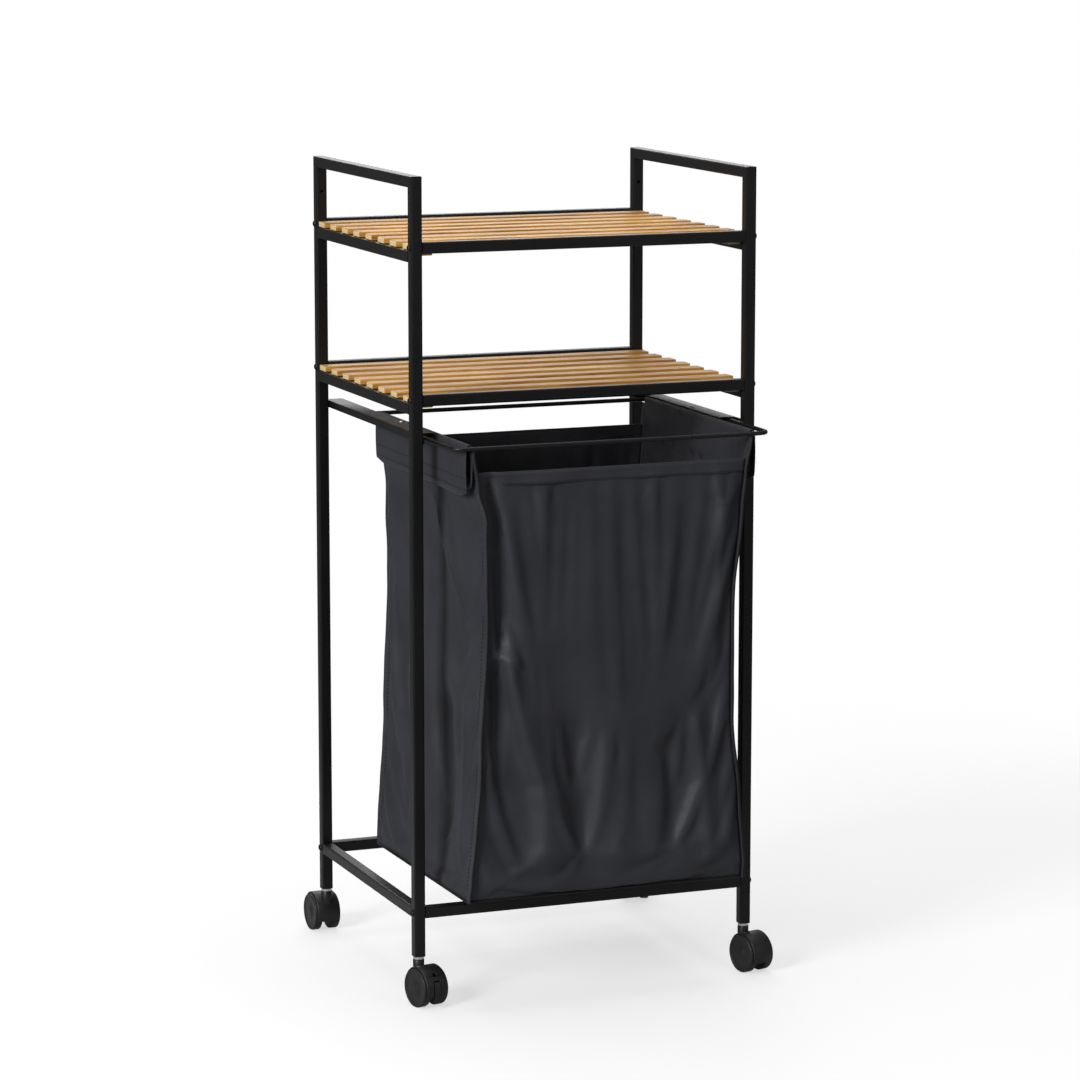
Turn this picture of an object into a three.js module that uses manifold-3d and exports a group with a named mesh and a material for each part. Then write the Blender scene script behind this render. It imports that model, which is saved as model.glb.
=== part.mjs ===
// Laundry sorter on wheels: a square-tube stand with two slatted shelves, a pull-out bag
// hung on a wire frame that slides in two channels, and four twin-wheel swivel casters.
// Millimetres, +Z up, front towards -Y, the floor at z = 0.
import * as THREE from 'three';
import { mergeVertices } from 'three/addons/utils/BufferGeometryUtils.js';
import Module from 'manifold-3d';

const wasm = await Module();
wasm.setup();

// Stand
const FRAME_WIDTH = 415;
const FRAME_DEPTH = 343;
const TUBE = 13;
const TUBE_WALL = 1.2;
const TUBE_CORNER = 1.6;
const POST_LENGTH = 881;
const CASTER_HEIGHT = 54;
const SHELF_LEVELS = { lower: 626.5, upper: 795.5 };
const BOTTOM_LEVEL = 44;
const SIDE_RAIL_DROP = 10;
const WALL_HOLE_LEVEL = 840;
const WALL_HOLE_RADIUS = 2;
const FOOT_PLUG = 25;
const FOOT_BORE_RADIUS = 4.3;
const GAP = 0.3;

// Slatted shelves
const SLAT_COUNT = 8;
const SLAT_WIDTH = 21;
const SLAT_PITCH = 39.9;
const SLAT_THICKNESS = 6.5;
const SLAT_EDGE = 1.2;
const BATTEN_WIDTH = 16;

// Bolts through the posts into the front and rear rails
const BOLT_RADIUS = 2.3;
const BOLT_LENGTH = 24;
const BOLT_HEAD_RADIUS = 4;
const BOLT_HEAD_HEIGHT = 2.5;
const POST_HOLE_RADIUS = 2.7;
const RAIL_PLUG = 14;
const RAIL_BORE_RADIUS = 2.5;

// Bag frame and its channels
const WIRE_LEVEL = 589;
const WIRE_RADIUS = 2.5;
const WIRE_HALF_WIDTH = 188;
const WIRE_CORNER = 14;
const WIRE_FRONT = -254.5;
const WIRE_REAR = 60.5;
const HANGER_X = 169;
const CHANNEL_WIDTH = 20;
const CHANNEL_HEIGHT = 8.4;
const CHANNEL_WALL = 1.2;
const CHANNEL_FRONT = 26;
const STOP_PIN_HOLE_RADIUS = 1.8;
const STOP_PIN_INSET = 15;
const STOP_PIN_BACK = 117;

// Bag, its levels counted from the floor
const CLOTH = 1.6;
const BAG_CORNER = 12;
const SLEEVE_CLOTH = 1.2;
const HEM_LEVEL = 614;
const MOUTH_HALF_WIDTH = 161;
const SLEEVE_FRONT = -248.5;
const SLEEVE_REAR = 51.5;
const SLEEVE_FOOT = 593;
const SLEEVE_SEAM_X = 161.2;

// Casters
const WHEEL_RADIUS = 22;
const WHEEL_INNER = 6.5;
const WHEEL_OUTER = 16;
const TRAIL = 16;
const AXLE_RADIUS = 2.5;
const HOOD_INNER = 22.8;
const HOOD_OUTER = 24.3;
const HOOD_HALF_WIDTH = 13.4;
const WEB_HALF_WIDTH = 5.7;
const NECK_RADIUS = 6.4;
const NECK_LENGTH = 12;
const BOSS_TIP_RADIUS = 2.4;
const BOSS_FOOT = 18;
const STEM_COLLAR = 3;
const STEM_PIN_RADIUS = 3;
const STEM_PIN_LENGTH = 10.3;
const HOOD_START = THREE.MathUtils.degToRad(-20);
const HOOD_END = THREE.MathUtils.degToRad(200);
const LEVER_TOP = THREE.MathUtils.degToRad(24);
const LEVER_START = THREE.MathUtils.degToRad(-34);
const LEVER_WIDTH = 7.2;
const LEVER_SLOT = 9.2;
const CASTER_TURNS = { fl: 13, fr: 13, rl: 182, rr: 150 };
const BRAKED_CASTERS = ['fl', 'rr'];

// Places that follow from them
const postX = FRAME_WIDTH / 2 - TUBE / 2;
const postY = FRAME_DEPTH / 2 - TUBE / 2;
const floorToFoot = CASTER_HEIGHT;
const postTop = floorToFoot + POST_LENGTH;
const wireZ = floorToFoot + WIRE_LEVEL;
const railSpan = FRAME_WIDTH - 2 * TUBE - 2 * GAP;
const sideSpan = FRAME_DEPTH - 2 * TUBE - 2 * GAP;
const railLevels = { bottom: BOTTOM_LEVEL, ...SHELF_LEVELS };
const corners = {
  fl: { x: -1, y: -1 },
  fr: { x: 1, y: -1 },
  rl: { x: -1, y: 1 },
  rr: { x: 1, y: 1 },
};
const sides = { left: -1, right: 1 };

const paint = new THREE.MeshStandardMaterial({ color: 0x17171a, roughness: 0.48, metalness: 0.25 });
const boltSteel = new THREE.MeshStandardMaterial({ color: 0x1b1b1e, roughness: 0.3, metalness: 0.6 });
const zinc = new THREE.MeshStandardMaterial({ color: 0xc9cdd0, roughness: 0.3, metalness: 0.9 });
const wood = new THREE.MeshStandardMaterial({ color: 0xd6a263, roughness: 0.55, metalness: 0 });
const fabric = new THREE.MeshStandardMaterial({ color: 0x222327, roughness: 0.7, metalness: 0 });
const plastic = new THREE.MeshStandardMaterial({ color: 0x1e1e21, roughness: 0.5, metalness: 0 });

const sorter = new THREE.Group();

function addPiece(parent, name, geometry, material) {
  const mesh = new THREE.Mesh(geometry, material);
  mesh.name = name;
  parent.add(mesh);
  return mesh;
}

// Solids: three.js geometry in and out of the boolean library
function toSolid(geometry) {
  const bare = geometry.clone();
  bare.deleteAttribute('normal');
  bare.deleteAttribute('uv');
  const merged = mergeVertices(bare, 1e-4);
  return new wasm.Manifold(new wasm.Mesh({
    numProp: 3,
    vertProperties: merged.attributes.position.array,
    triVerts: Uint32Array.from(merged.index.array),
  }));
}

function toGeometry(solid) {
  const mesh = solid.getMesh();
  const geometry = new THREE.BufferGeometry();
  geometry.setAttribute('position', new THREE.BufferAttribute(mesh.vertProperties, 3));
  geometry.setIndex(new THREE.BufferAttribute(mesh.triVerts, 1));
  geometry.computeVertexNormals();
  return geometry;
}

function join(...geometries) {
  return toGeometry(geometries.map(toSolid).reduce((whole, part) => whole.add(part)));
}

function cut(geometry, ...tools) {
  return toGeometry(tools.map(toSolid).reduce((whole, tool) => whole.subtract(tool), toSolid(geometry)));
}

function box(x0, x1, y0, y1, z0, z1) {
  const geometry = new THREE.BoxGeometry(x1 - x0, y1 - y0, z1 - z0);
  return geometry.translate((x0 + x1) / 2, (y0 + y1) / 2, (z0 + z1) / 2);
}

// A round bar of the given length, centred on a point and lying along x, y or z
function bar(axis, radius, length, x, y, z, facets = 12) {
  const geometry = new THREE.CylinderGeometry(radius, radius, length, facets);
  if (axis === 'x') {
    geometry.rotateZ(Math.PI / 2);
  }
  if (axis === 'z') {
    geometry.rotateX(Math.PI / 2);
  }
  return geometry.translate(x, y, z);
}

// An outline extruded along z, centred on the origin
function extrudeCentred(shape, length, curveSegments = 1) {
  const options = { depth: length, bevelEnabled: false, curveSegments };
  return new THREE.ExtrudeGeometry(shape, options).translate(0, 0, -length / 2);
}

function roundedSquare(size, corner) {
  const half = size / 2;
  const shape = new THREE.Shape();
  shape.absarc(half - corner, half - corner, corner, 0, Math.PI / 2);
  shape.absarc(corner - half, half - corner, corner, Math.PI / 2, Math.PI);
  shape.absarc(corner - half, corner - half, corner, Math.PI, 1.5 * Math.PI);
  shape.absarc(half - corner, corner - half, corner, 1.5 * Math.PI, 2 * Math.PI);
  return shape;
}

// A square tube, open at both ends, centred on the origin and lying along z
function squareTube(length) {
  const shape = roundedSquare(TUBE, TUBE_CORNER);
  const inner = TUBE / 2 - TUBE_WALL;
  const hole = new THREE.Path();
  hole.moveTo(-inner, -inner);
  hole.lineTo(-inner, inner);
  hole.lineTo(inner, inner);
  hole.lineTo(inner, -inner);
  hole.closePath();
  shape.holes.push(hole);
  return extrudeCentred(shape, length);
}

function tubeAlongX(length) {
  return squareTube(length).rotateY(Math.PI / 2);
}

function tubeAlongY(length) {
  return squareTube(length).rotateX(Math.PI / 2);
}

// Everything on the rail's side of the 45-degree joint between a post and a top rail,
// or on the post's side when side is -1
function mitreBlock(ySign, side) {
  const size = 90;
  const reach = (size - GAP) / 2;
  const block = new THREE.BoxGeometry(size, size, size).rotateX(Math.PI / 4);
  const step = side * reach * Math.SQRT1_2;
  return block.translate(0, ySign * FRAME_DEPTH / 2 - ySign * step, postTop + step);
}

// Posts: a tube with a threaded plug in its foot, bolt holes at the rails and, on the
// rear posts, a hole near the top for fixing to a wall
function postGeometry(corner) {
  const tube = squareTube(POST_LENGTH).translate(0, 0, floorToFoot + POST_LENGTH / 2);
  const plugHalf = TUBE / 2 - TUBE_WALL / 2;
  const plug = box(-plugHalf, plugHalf, -plugHalf, plugHalf, floorToFoot, floorToFoot + FOOT_PLUG);
  const tools = [bar('z', FOOT_BORE_RADIUS, 2 * FOOT_PLUG + 10, 0, 0, floorToFoot + 10)];
  for (const level of Object.values(railLevels)) {
    tools.push(bar('x', POST_HOLE_RADIUS, 2 * TUBE, 0, 0, floorToFoot + level + TUBE / 2));
  }
  if (corner.y > 0) {
    tools.push(bar('y', WALL_HOLE_RADIUS, 2 * TUBE, 0, 0, floorToFoot + WALL_HOLE_LEVEL));
  }
  tools.push(mitreBlock(corner.y, 1).translate(0, -corner.y * postY, 0));
  return cut(join(tube, plug), ...tools);
}

for (const [key, corner] of Object.entries(corners)) {
  const post = addPiece(sorter, `post_${key}`, postGeometry(corner), paint);
  post.position.set(corner.x * postX, corner.y * postY, 0);
}

// Top rails, mitred onto the posts to make the two handles
for (const [key, sign] of Object.entries(sides)) {
  const tube = tubeAlongY(FRAME_DEPTH).translate(0, 0, postTop - TUBE / 2);
  const rail = addPiece(sorter, `top_rail_${key}`, cut(tube, mitreBlock(-1, -1), mitreBlock(1, -1)), paint);
  rail.position.x = sign * postX;
}

// Front and rear rails, plugged at both ends for the bolts
function crossRailGeometry() {
  const half = railSpan / 2;
  const plugHalf = TUBE / 2 - TUBE_WALL / 2;
  const plug = box(half - RAIL_PLUG, half, -plugHalf, plugHalf, -plugHalf, plugHalf);
  const otherPlug = box(-half, RAIL_PLUG - half, -plugHalf, plugHalf, -plugHalf, plugHalf);
  const bores = [-1, 1].map((sign) => bar('x', RAIL_BORE_RADIUS, 2 * RAIL_PLUG + 4, sign * half, 0, 0));
  return cut(join(tubeAlongX(railSpan), plug, otherPlug), ...bores);
}

for (const [level, height] of Object.entries(railLevels)) {
  for (const [key, sign] of Object.entries({ front: -1, rear: 1 })) {
    const rail = addPiece(sorter, `rail_${key}_${level}`, crossRailGeometry(), paint);
    rail.position.set(0, sign * postY, floorToFoot + height + TUBE / 2);
  }
}

// Side rails: level with the front rails at the bottom, lower than them at the shelves
for (const [level, height] of Object.entries(railLevels)) {
  const drop = level === 'bottom' ? 0 : SIDE_RAIL_DROP;
  for (const [key, sign] of Object.entries(sides)) {
    const rail = addPiece(sorter, `rail_${key}_${level}`, tubeAlongY(sideSpan), paint);
    rail.position.set(sign * postX, 0, floorToFoot + height - drop + TUBE / 2);
  }
}

// Bolts: a shank and a domed head, lying along x with the head outwards
function boltGeometry(sign) {
  const profile = [new THREE.Vector2(0, -BOLT_LENGTH), new THREE.Vector2(BOLT_RADIUS, -BOLT_LENGTH)];
  profile.push(new THREE.Vector2(BOLT_RADIUS, 0));
  const domeSteps = 3;
  for (let i = 0; i < domeSteps; i += 1) {
    const turn = (i / domeSteps) * Math.PI / 2;
    profile.push(new THREE.Vector2(BOLT_HEAD_RADIUS * Math.cos(turn), BOLT_HEAD_HEIGHT * Math.sin(turn)));
  }
  profile.push(new THREE.Vector2(0, BOLT_HEAD_HEIGHT));
  return new THREE.LatheGeometry(profile, 10).rotateZ(-sign * Math.PI / 2);
}

for (const [key, corner] of Object.entries(corners)) {
  for (const [level, height] of Object.entries(railLevels)) {
    const bolt = addPiece(sorter, `bolt_${key}_${level}`, boltGeometry(corner.x), boltSteel);
    bolt.position.set(corner.x * (FRAME_WIDTH / 2 + GAP), corner.y * postY, floorToFoot + height + TUBE / 2);
  }
}

// Shelf decks: slats across the width on two battens that drop between the side rails
function slatGeometry(length) {
  const half = SLAT_WIDTH / 2;
  const shape = new THREE.Shape();
  shape.moveTo(-half, 0);
  shape.lineTo(half, 0);
  shape.lineTo(half, SLAT_THICKNESS - SLAT_EDGE);
  shape.lineTo(half - SLAT_EDGE, SLAT_THICKNESS);
  shape.lineTo(SLAT_EDGE - half, SLAT_THICKNESS);
  shape.lineTo(-half, SLAT_THICKNESS - SLAT_EDGE);
  shape.closePath();
  return extrudeCentred(shape, length).rotateX(Math.PI / 2).rotateZ(Math.PI / 2);
}

function deckGeometry() {
  const slatLength = FRAME_WIDTH - 3;
  const pieces = [];
  for (let i = 0; i < SLAT_COUNT; i += 1) {
    const y = (i - (SLAT_COUNT - 1) / 2) * SLAT_PITCH;
    pieces.push(slatGeometry(slatLength).translate(0, y, 0));
  }
  const outer = FRAME_WIDTH / 2 - TUBE - 2 * GAP;
  const reach = sideSpan / 2 - 1;
  for (const sign of [-1, 1]) {
    const x0 = Math.min(sign * outer, sign * (outer - BATTEN_WIDTH));
    pieces.push(box(x0, x0 + BATTEN_WIDTH, -reach, reach, -SLAT_THICKNESS, 0.2));
  }
  return join(...pieces);
}

for (const [level, height] of Object.entries(SHELF_LEVELS)) {
  const deck = addPiece(sorter, `deck_${level}`, deckGeometry(), wood);
  deck.position.z = floorToFoot + height - SIDE_RAIL_DROP + TUBE + GAP;
}

// Channels that carry the bag frame, open towards the bag, each with a stop pin
function channelGeometry(sign) {
  const inside = CHANNEL_HEIGHT / 2 - CHANNEL_WALL;
  const outline = [
    [0, -CHANNEL_HEIGHT / 2], [CHANNEL_WIDTH, -CHANNEL_HEIGHT / 2], [CHANNEL_WIDTH, -inside],
    [CHANNEL_WALL, -inside], [CHANNEL_WALL, inside], [CHANNEL_WIDTH, inside],
    [CHANNEL_WIDTH, CHANNEL_HEIGHT / 2], [0, CHANNEL_HEIGHT / 2],
  ];
  const shape = new THREE.Shape(outline.map(([u, w]) => new THREE.Vector2(-sign * u, w)));
  const front = CHANNEL_FRONT - FRAME_DEPTH / 2;
  const rear = FRAME_DEPTH / 2 - 1;
  const channel = extrudeCentred(shape, rear - front).rotateX(Math.PI / 2);
  channel.translate(0, (front + rear) / 2, 0);
  const tabEnd = Math.min(0, -sign * CHANNEL_WALL);
  const half = CHANNEL_HEIGHT / 2;
  const tab = box(tabEnd, tabEnd + CHANNEL_WALL, 1 - FRAME_DEPTH / 2, front + 2, -half, half);
  const pinY = STOP_PIN_BACK - FRAME_DEPTH / 2;
  const pinHole = bar('z', STOP_PIN_HOLE_RADIUS, 20, -sign * STOP_PIN_INSET, pinY, 0);
  return cut(join(channel, tab), pinHole);
}

function stopPinGeometry() {
  const half = CHANNEL_HEIGHT / 2;
  const profile = [[0, -half - 1], [1.5, -half - 1], [1.5, half + GAP], [2.8, half + GAP]];
  profile.push([2.2, half + 1.4], [0, half + 1.8]);
  return new THREE.LatheGeometry(profile.map(([r, z]) => new THREE.Vector2(r, z)), 12).rotateX(Math.PI / 2);
}

for (const [key, sign] of Object.entries(sides)) {
  const webX = sign * (FRAME_WIDTH / 2 - TUBE - GAP);
  const channel = addPiece(sorter, `channel_${key}`, channelGeometry(sign), paint);
  channel.position.set(webX, 0, wireZ);
  const pin = addPiece(sorter, `stop_pin_${key}`, stopPinGeometry(), zinc);
  pin.position.set(webX - sign * STOP_PIN_INSET, STOP_PIN_BACK - FRAME_DEPTH / 2, wireZ);
}

// A path through given stations, one extrusion step between each two
class StationPath extends THREE.Curve {
  constructor(stations) {
    super();
    this.stations = stations;
  }

  getPoint(t) {
    const last = this.stations.length - 1;
    const place = Math.min(Math.max(t, 0), 1) * last;
    const index = Math.min(Math.floor(place), last - 1);
    return this.stations[index].clone().lerp(this.stations[index + 1], place - index);
  }

  getPointAt(t) {
    return this.getPoint(t);
  }

  getTangentAt(t) {
    const half = 0.5 / (this.stations.length - 1);
    return this.getPoint(t + half).sub(this.getPoint(t - half)).normalize();
  }
}

// Bag frame: one bent wire closed at the back by a weld, and two hanger wires inside it
function wireStations() {
  const stations = [new THREE.Vector3(GAP / 2, WIRE_REAR, 0)];
  const centreX = WIRE_HALF_WIDTH - WIRE_CORNER;
  const bends = [
    { x: centreX, y: WIRE_REAR - WIRE_CORNER, start: 0.5 * Math.PI },
    { x: centreX, y: WIRE_FRONT + WIRE_CORNER, start: 0 },
    { x: -centreX, y: WIRE_FRONT + WIRE_CORNER, start: -0.5 * Math.PI },
    { x: -centreX, y: WIRE_REAR - WIRE_CORNER, start: -Math.PI },
  ];
  const steps = 5;
  for (const bend of bends) {
    for (let i = 0; i <= steps; i += 1) {
      const turn = bend.start - (i / steps) * Math.PI / 2;
      const x = bend.x + WIRE_CORNER * Math.cos(turn);
      stations.push(new THREE.Vector3(x, bend.y + WIRE_CORNER * Math.sin(turn), 0));
    }
  }
  stations.push(new THREE.Vector3(-GAP / 2, WIRE_REAR, 0));
  return stations;
}

function wireFrameGeometry() {
  const stations = wireStations();
  const section = new THREE.Shape();
  section.absarc(0, 0, WIRE_RADIUS, 0, 2 * Math.PI);
  const options = { steps: stations.length - 1, curveSegments: 6, extrudePath: new StationPath(stations) };
  const loop = new THREE.ExtrudeGeometry(section, { ...options, bevelEnabled: false });
  const weld = bar('x', WIRE_RADIUS + 0.4, 6, 0, WIRE_REAR, 0, 12);
  const length = WIRE_REAR - WIRE_FRONT;
  const middle = (WIRE_REAR + WIRE_FRONT) / 2;
  const hangers = [-1, 1].map((sign) => bar('y', WIRE_RADIUS - 0.1, length, sign * HANGER_X, middle, 0, 12));
  return join(loop, weld, ...hangers);
}

addPiece(sorter, 'bag_frame', wireFrameGeometry(), paint).position.z = wireZ;

// Bag: an open-topped cloth box, narrower at its waist, its sides sewn into sleeves
// around the hanger wires. Each section gives the height, half width, front and rear.
const bagSections = [
  { z: 130, x: 173, front: -253, rear: 53 },
  { z: 190, x: 167, front: -252, rear: 51 },
  { z: 330, x: 159, front: -249, rear: 47 },
  { z: 480, x: 156, front: -246, rear: 46 },
  { z: 570, x: 158, front: -247, rear: 49 },
  { z: HEM_LEVEL, x: 163, front: -249, rear: 54 },
  { z: 643, x: 166, front: -250, rear: 55.5 },
];

function sectionOutline(section, inset) {
  const points = [];
  const radius = BAG_CORNER - inset;
  const middle = (section.front + section.rear) / 2;
  const halfDepth = (section.rear - section.front) / 2;
  const steps = 3;
  for (let quarter = 0; quarter < 4; quarter += 1) {
    const signX = quarter === 0 || quarter === 3 ? 1 : -1;
    const signY = quarter < 2 ? 1 : -1;
    for (let i = 0; i <= steps; i += 1) {
      const turn = (quarter + i / steps) * Math.PI / 2;
      const x = signX * (section.x - BAG_CORNER) + radius * Math.cos(turn);
      const y = middle + signY * (halfDepth - BAG_CORNER) + radius * Math.sin(turn);
      points.push([x, y]);
    }
  }
  return points;
}

// A closed skin through the sections from the bottom up
function loftGeometry(sections, inset) {
  const rings = sections.map((section) => sectionOutline(section, inset));
  const count = rings[0].length;
  const positions = [];
  rings.forEach((ring, level) => {
    ring.forEach(([x, y]) => positions.push(x, y, sections[level].z));
  });
  const index = [];
  for (let level = 0; level + 1 < rings.length; level += 1) {
    for (let i = 0; i < count; i += 1) {
      const a = level * count + i;
      const b = level * count + ((i + 1) % count);
      index.push(a, b, b + count, a, b + count, a + count);
    }
  }
  const top = (rings.length - 1) * count;
  for (let i = 1; i + 1 < count; i += 1) {
    index.push(0, i + 1, i, top, top + i, top + i + 1);
  }
  const geometry = new THREE.BufferGeometry();
  geometry.setAttribute('position', new THREE.Float32BufferAttribute(positions, 3));
  geometry.setIndex(index);
  return geometry;
}

// A closed cloth loop around the right-hand hanger wire, its foot drawn in to the bag's side
function sleeveGeometry() {
  const radius = WIRE_RADIUS + 0.5;
  const outline = (path, around, drop) => {
    path.absarc(HANGER_X, wireZ, around, 0, Math.PI);
    path.lineTo(SLEEVE_SEAM_X + drop, SLEEVE_FOOT - 6 + drop);
    path.lineTo(SLEEVE_SEAM_X + SLEEVE_CLOTH + drop, SLEEVE_FOOT - 8 + drop);
    path.lineTo(HANGER_X + around, SLEEVE_FOOT + drop);
    path.closePath();
    return path;
  };
  const shape = outline(new THREE.Shape(), radius + SLEEVE_CLOTH, 0);
  shape.holes.push(outline(new THREE.Path(), radius, 2 * SLEEVE_CLOTH));
  return extrudeCentred(shape, SLEEVE_REAR - SLEEVE_FRONT, 5).rotateX(Math.PI / 2);
}

function bagGeometry() {
  const inner = bagSections.map((section) => ({ ...section }));
  inner[0].z += CLOTH;
  inner[inner.length - 1].z += 1;
  const shell = cut(loftGeometry(bagSections, 0), loftGeometry(inner, CLOTH));
  const aboveFront = box(-MOUTH_HALF_WIDTH, MOUTH_HALF_WIDTH, -270, -230, HEM_LEVEL, 700);
  const aboveRear = box(-MOUTH_HALF_WIDTH, MOUTH_HALF_WIDTH, 30, 80, HEM_LEVEL, 700);
  const open = cut(shell, aboveFront, aboveRear);
  const middle = (SLEEVE_REAR + SLEEVE_FRONT) / 2;
  const sleeves = [sleeveGeometry(), sleeveGeometry().rotateZ(Math.PI)];
  return join(open, ...sleeves.map((sleeve) => sleeve.translate(0, middle, 0)));
}

addPiece(sorter, 'bag', bagGeometry(), fabric);

// Casters. In a caster's own frame the swivel axis stands at the origin, the wheels trail
// towards -Y and the axle lies along X; angles around the axle count up from the trailing
// side through the top.
const fromAxlePlane = new THREE.Matrix4().makeBasis(
  new THREE.Vector3(0, -1, 0),
  new THREE.Vector3(0, 0, 1),
  new THREE.Vector3(-1, 0, 0),
);

function aroundAxle(shape, width, curveSegments) {
  const geometry = extrudeCentred(shape, width, curveSegments).applyMatrix4(fromAxlePlane);
  return geometry.translate(0, -TRAIL, WHEEL_RADIUS);
}

function ringSector(inner, outer, start, end) {
  const shape = new THREE.Shape();
  shape.absarc(0, 0, outer, start, end);
  shape.absarc(0, 0, inner, end, start, true);
  return shape;
}

function hoodGeometry(braked) {
  const cover = aroundAxle(ringSector(HOOD_INNER, HOOD_OUTER, HOOD_START, HOOD_END), 2 * HOOD_HALF_WIDTH, 10);
  const webShape = new THREE.Shape();
  webShape.absarc(0, 0, HOOD_INNER + 0.5, HOOD_START, HOOD_END);
  const web = aroundAxle(webShape, 2 * WEB_HALF_WIDTH, 10);
  const top = CASTER_HEIGHT - STEM_COLLAR - GAP;
  const neck = new THREE.CylinderGeometry(NECK_RADIUS, NECK_RADIUS, NECK_LENGTH, 16).rotateX(Math.PI / 2);
  neck.translate(0, 0, top - NECK_LENGTH / 2);
  const bossTop = top - NECK_LENGTH + 2;
  const bossLength = bossTop - BOSS_FOOT;
  const boss = new THREE.CylinderGeometry(NECK_RADIUS, BOSS_TIP_RADIUS, bossLength, 16).rotateX(Math.PI / 2);
  boss.translate(0, 0, (bossTop + BOSS_FOOT) / 2);
  const wheelRoom = [-1, 1].map((sign) => {
    const middle = sign * (WEB_HALF_WIDTH + 10);
    return bar('x', HOOD_INNER, 20, middle, -TRAIL, WHEEL_RADIUS, 30);
  });
  const neckOutside = cut(join(neck, boss), ...wheelRoom);
  const tools = [bar('z', STEM_PIN_RADIUS + 0.06, 2 * STEM_PIN_LENGTH + 0.8, 0, 0, top, 24)];
  tools.push(bar('x', AXLE_RADIUS + 0.1, 40, 0, -TRAIL, WHEEL_RADIUS, 16));
  if (braked) {
    tools.push(aroundAxle(ringSector(17, 30, HOOD_START - 0.3, LEVER_TOP + 0.06), LEVER_SLOT, 5));
  }
  return cut(join(cover, web, neckOutside), ...tools);
}

// Brake lever: a curved tab between the wheels with a raised toe at its lower end
function leverGeometry() {
  const tab = aroundAxle(ringSector(21.2, 25, LEVER_START, LEVER_TOP), LEVER_WIDTH, 5);
  const toe = aroundAxle(ringSector(24, 27.6, LEVER_START, LEVER_START + 0.17), LEVER_WIDTH, 1);
  return join(tab, toe);
}

function wheelGeometry(sign) {
  const profile = [
    [0, 15.2], [18.4, 15.2], [19.4, WHEEL_OUTER], [20.8, WHEEL_OUTER], [WHEEL_RADIUS, 14.8],
    [WHEEL_RADIUS, WHEEL_INNER], [AXLE_RADIUS + 0.08, WHEEL_INNER], [AXLE_RADIUS + 0.08, 13.2], [0, 13.2],
  ];
  const points = profile.map(([r, x]) => new THREE.Vector2(r, x)).reverse();
  return new THREE.LatheGeometry(points, 24).rotateZ(-sign * Math.PI / 2);
}

function stemGeometry() {
  const shoulder = STEM_COLLAR - GAP;
  const profile = [
    [0, -STEM_PIN_LENGTH], [STEM_PIN_RADIUS, -STEM_PIN_LENGTH], [STEM_PIN_RADIUS, 0],
    [6.2, 0], [6.2, shoulder], [4, shoulder], [4, 26], [0, 26],
  ];
  return new THREE.LatheGeometry(profile.map(([r, z]) => new THREE.Vector2(r, z)), 16).rotateX(Math.PI / 2);
}

for (const [key, corner] of Object.entries(corners)) {
  const stem = addPiece(sorter, `stem_${key}`, stemGeometry(), zinc);
  stem.position.set(corner.x * postX, corner.y * postY, CASTER_HEIGHT - STEM_COLLAR);
  const caster = new THREE.Group();
  caster.position.set(corner.x * postX, corner.y * postY, 0);
  caster.rotation.z = THREE.MathUtils.degToRad(CASTER_TURNS[key]);
  sorter.add(caster);
  const braked = BRAKED_CASTERS.includes(key);
  addPiece(caster, `hood_${key}`, hoodGeometry(braked), plastic);
  const axle = bar('x', AXLE_RADIUS, 25.8, 0, -TRAIL, WHEEL_RADIUS, 24);
  addPiece(caster, `axle_${key}`, axle, zinc);
  if (braked) {
    addPiece(caster, `brake_lever_${key}`, leverGeometry(), plastic);
  }
  for (const [side, sign] of Object.entries(sides)) {
    const wheel = addPiece(caster, `wheel_${key}_${side}`, wheelGeometry(sign), plastic);
    wheel.position.set(0, -TRAIL, WHEEL_RADIUS);
  }
}

// The origin: the middle of the whole object's footprint, on the floor
const bounds = new THREE.Box3().setFromObject(sorter, true);
const middle = bounds.getCenter(new THREE.Vector3());
sorter.position.set(-middle.x, -middle.y, -bounds.min.z);

export default sorter;
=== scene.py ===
"""Laundry sorter on wheels: the looks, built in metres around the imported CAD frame."""
import math
import random

import bmesh
import bpy
from mathutils import Matrix, Vector, noise


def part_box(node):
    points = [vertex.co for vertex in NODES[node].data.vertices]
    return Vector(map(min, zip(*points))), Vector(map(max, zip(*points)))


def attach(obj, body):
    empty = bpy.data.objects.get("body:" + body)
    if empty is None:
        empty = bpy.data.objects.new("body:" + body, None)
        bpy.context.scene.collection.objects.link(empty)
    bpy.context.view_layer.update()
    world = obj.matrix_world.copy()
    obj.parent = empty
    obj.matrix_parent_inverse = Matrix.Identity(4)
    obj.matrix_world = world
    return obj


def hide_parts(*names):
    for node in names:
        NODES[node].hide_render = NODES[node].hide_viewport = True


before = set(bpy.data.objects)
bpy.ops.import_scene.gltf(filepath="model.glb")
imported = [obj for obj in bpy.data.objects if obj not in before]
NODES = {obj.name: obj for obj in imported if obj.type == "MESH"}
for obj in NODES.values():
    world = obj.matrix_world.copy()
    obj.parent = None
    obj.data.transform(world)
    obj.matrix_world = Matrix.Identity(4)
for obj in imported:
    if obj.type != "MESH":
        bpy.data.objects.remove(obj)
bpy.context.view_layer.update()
CORNERS = ("fl", "fr", "rl", "rr")
CASTER_BODIES = {"fl": "front_left", "fr": "front_right", "rl": "rear_left", "rr": "rear_right"}
MM = 0.001
rng = random.Random(7)


# ---------------------------------------------------------------- materials

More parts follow.
